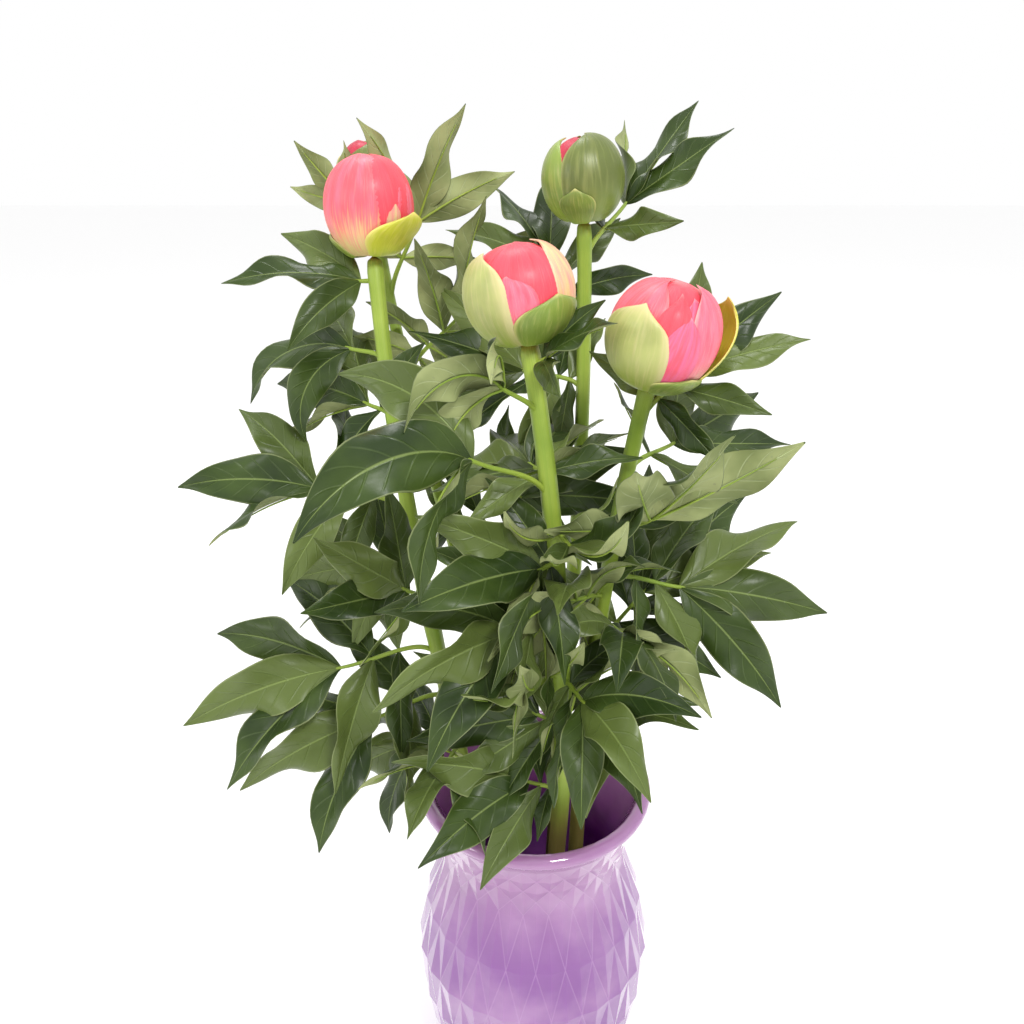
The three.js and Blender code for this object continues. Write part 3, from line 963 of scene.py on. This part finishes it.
# Each bud has its paints, the paint of its heart, and its plates:
# CAD piece, paint, azimuth, width, start, lift, opening, point, thickness, lean
BUDS = {
    "left": {
        "paints": [CORAL, CORAL_DEEP, BLUSH, CREAM, SEPAL_LIME, SEPAL_GREEN],
        "heart": CORAL_DEEP,
        "plates": [
            ("petal_ball", CORAL, 70, 210, 3, -1.7, 0, 0, 0.6, 0),
            ("petal_ball", CORAL_DEEP, -26, 120, 9, -1.0, 0.4, 0, 0.6, -14),
            ("petal_ball", BLUSH, -34, 52, 50, -1.2, 0.3, 0.1, 0.6, 14),
            ("petal_ball", CREAM, -52, 40, 84, -1.0, 0.3, 0.3, 0.6, 6),
            ("outer_petal_1", CORAL, -112, 156, 5, -1.0, 0.5, 0, 0.6, 20),
            ("sepal_1", SEPAL_LIME, -34, 124, 98, -0.3, 3.6, 0, 1.1, 8),
            ("sepal_2", SEPAL_GREEN, 165, 110, 112, -0.3, 0.6, 0.2, 0.8, 0),
        ],
    },
    "back_left": {
        "paints": [CRIMSON, SEPAL_OLIVE, SEPAL_GREEN, SEPAL_PALE],
        "heart": CRIMSON,
        "plates": [
            ("petal_ball", CRIMSON, -100, 120, 6, -1.0, 0, 0, 0.6, 0),
            ("sepal_1", SEPAL_OLIVE, -60, 150, 42, -0.2, 0.2, 0, 0.8, 0),
            ("sepal_1", SEPAL_PALE, -150, 90, 60, 0.1, 0.4, 0.2, 0.8, 0),
            ("sepal_2", SEPAL_GREEN, 75, 170, 12, -0.3, 0.2, 0, 0.8, 0),
        ],
    },
    "front": {
        "paints": [CORAL_DEEP, BLUSH, CREAM, CORAL, SEPAL_PALE, SEPAL_GREEN],
        "heart": CORAL_DEEP,
        "plates": [
            ("petal_ball", CORAL, 100, 220, 4, -1.8, 0, 0, 0.6, 0),
            ("petal_ball", CORAL_DEEP, -84, 130, 3, -1.5, 0.3, 0, 0.6, 10),
            ("petal_ball", BLUSH, -106, 78, 62, -1.2, 0.3, 0, 0.6, 6),
            ("outer_petal_1", CREAM, 4, 112, 16, -0.9, 0.5, 0.1, 0.6, -12),
            ("sepal_1", SEPAL_PALE, -160, 122, 32, -0.3, 0.5, 0.05, 0.9, 8),
            ("sepal_2", SEPAL_GREEN, -50, 112, 92, -0.1, 0.5, 0, 0.9, 0),
            ("sepal_2", SEPAL_GREEN, 80, 100, 70, -0.2, 0.3, 0, 0.9, 0),
        ],
    },
    "back_right": {
        "paints": [CRIMSON, CORAL_DEEP, SEPAL_OLIVE, SEPAL_GREEN],
        "heart": CORAL_DEEP,
        "plates": [
            ("petal_ball", CRIMSON, -120, 90, 8, -0.9, 0, 0, 0.6, 0),
            ("sepal_1", SEPAL_GREEN, 178, 142, 18, -0.4, 0.3, 0.05, 0.8, 0),
            ("sepal_1", SEPAL_GREEN, -104, 62, 98, 0.5, 1.6, 0, 0.8, 0),
            ("sepal_2", SEPAL_OLIVE, -42, 176, 4, -0.1, 0.3, 0, 0.9, -4),
            ("sepal_2", SEPAL_OLIVE, 90, 140, 12, -0.3, 0.1, 0, 0.8, 0),
        ],
    },
    "right": {
        "paints": [CORAL, CORAL_DEEP, BLUSH, ROSE, SEPAL_PALE, SEPAL_GREEN, SEPAL_LIME],
        "heart": CORAL_DEEP,
        "plates": [
            ("petal_ball", CORAL, 90, 210, 4, -1.9, 0, 0, 0.6, 0),
            ("petal_ball", ROSE, -68, 90, 28, -1.8, 0.2, 0.1, 0.6, 8),
            ("petal_ball", CORAL_DEEP, -98, 70, 26, -1.4, 0.4, 0.3, 0.6, 10),
            ("petal_ball", CORAL, 178, 150, 3, -1.5, 0.4, 0, 0.6, 24),
            ("petal_ball", BLUSH, -12, 120, 14, -1.3, 1.4, 0, 0.6, -14),
            ("outer_petal_1", ROSE, -84, 60, 52, -1.0, 0.4, 0.2, 0.6, 8),
            ("sepal_1", SEPAL_PALE, -136, 100, 52, -0.2, 0.5, 0.05, 1.0, 4),
            ("sepal_2", SEPAL_GREEN, -52, 104, 116, 0.1, 0.6, 0, 0.9, 0),
            ("sepal_2", SEPAL_LIME, 16, 90, 50, 0.0, 6.0, 0.1, 1.0, 0),
        ],
    },
}


def bud(name):
    """One piece for each of a bud's CAD pieces, made of the plates that stand for it."""
    plan = BUDS[name]
    paints = plan["paints"]
    nodes = sorted({plate[0] for plate in plan["plates"]})
    for node in nodes:
        mould = Mould()
        if node == "petal_ball":
            petal_ball(mould, name, paints.index(plan["heart"]))
        for piece, paint, *shape in plan["plates"]:
            if piece == node:
                petal(mould, name, paints.index(paint), *shape)
        full = f"bud_{name}_{node}"
        mould.made(f"{full}_form", paints, [full], "sepal" if "sepal" in node else "petal")


# ---- Stage ----


def stage():
    """A wide pale floor."""
    mesh = bpy.data.meshes.new("floor")
    half = 6.0
    corners = [(-half, -half, 0), (half, -half, 0), (half, half, 0), (-half, half, 0)]
    mesh.from_pydata(corners, [], [(0, 1, 2, 3)])
    floor = bpy.data.objects.new("floor", mesh)
    bpy.context.scene.collection.objects.link(floor)
    material = bpy.data.materials.new("pale_floor")
    material.use_nodes = True
    shader = material.node_tree.nodes["Principled BSDF"]
    shader.inputs["Base Color"].default_value = (0.97, 0.97, 0.97, 1)
    shader.inputs["Roughness"].default_value = 0.9
    mesh.materials.append(material)


def light(name, position, target, size, energy):
    data = bpy.data.lights.new(name, "AREA")
    data.shape = "DISK"
    data.size = size
    data.energy = energy
    lamp = bpy.data.objects.new(name, data)
    lamp.location = position
    lamp.rotation_euler = (Vector(target) - Vector(position)).to_track_quat("-Z", "Y").to_euler()
    bpy.context.scene.collection.objects.link(lamp)


def studio():
    """White surroundings and three soft lamps, in metres and watts."""
    world = bpy.data.worlds.new("studio")
    world.use_nodes = True
    world.node_tree.nodes["Background"].inputs["Color"].default_value = (1, 1, 1, 1)
    world.node_tree.nodes["Background"].inputs["Strength"].default_value = 1.0
    bpy.context.scene.world = world
    bpy.context.scene.view_settings.view_transform = "Standard"
    middle = (0, 0, 0.32)
    light("key", (0.45, -1.0, 1.5), middle, 0.35, 15)
    light("fill", (-1.3, -0.6, 0.9), middle, 0.6, 4)
    light("top", (-0.2, 0.5, 1.7), middle, 0.5, 8)


def camera():
    """In front of the bunch and a little above its middle, looking down."""
    data = bpy.data.cameras.new("camera")
    data.sensor_width = 36
    data.lens = 31.64
    pitch_down = 23.2
    eye = bpy.data.objects.new("camera", data)
    eye.location = (-0.0113, -0.3629, 0.4893)
    eye.rotation_euler = (math.radians(90 - pitch_down), 0, 0)
    bpy.context.scene.collection.objects.link(eye)
    bpy.context.scene.camera = eye


vase()
for stem_name in STEMS:
    stem(stem_name)
    bud(stem_name)
for index, leaf_row in enumerate(LEAVES):
    leaf(index, leaf_row)
stage()
studio()
camera()
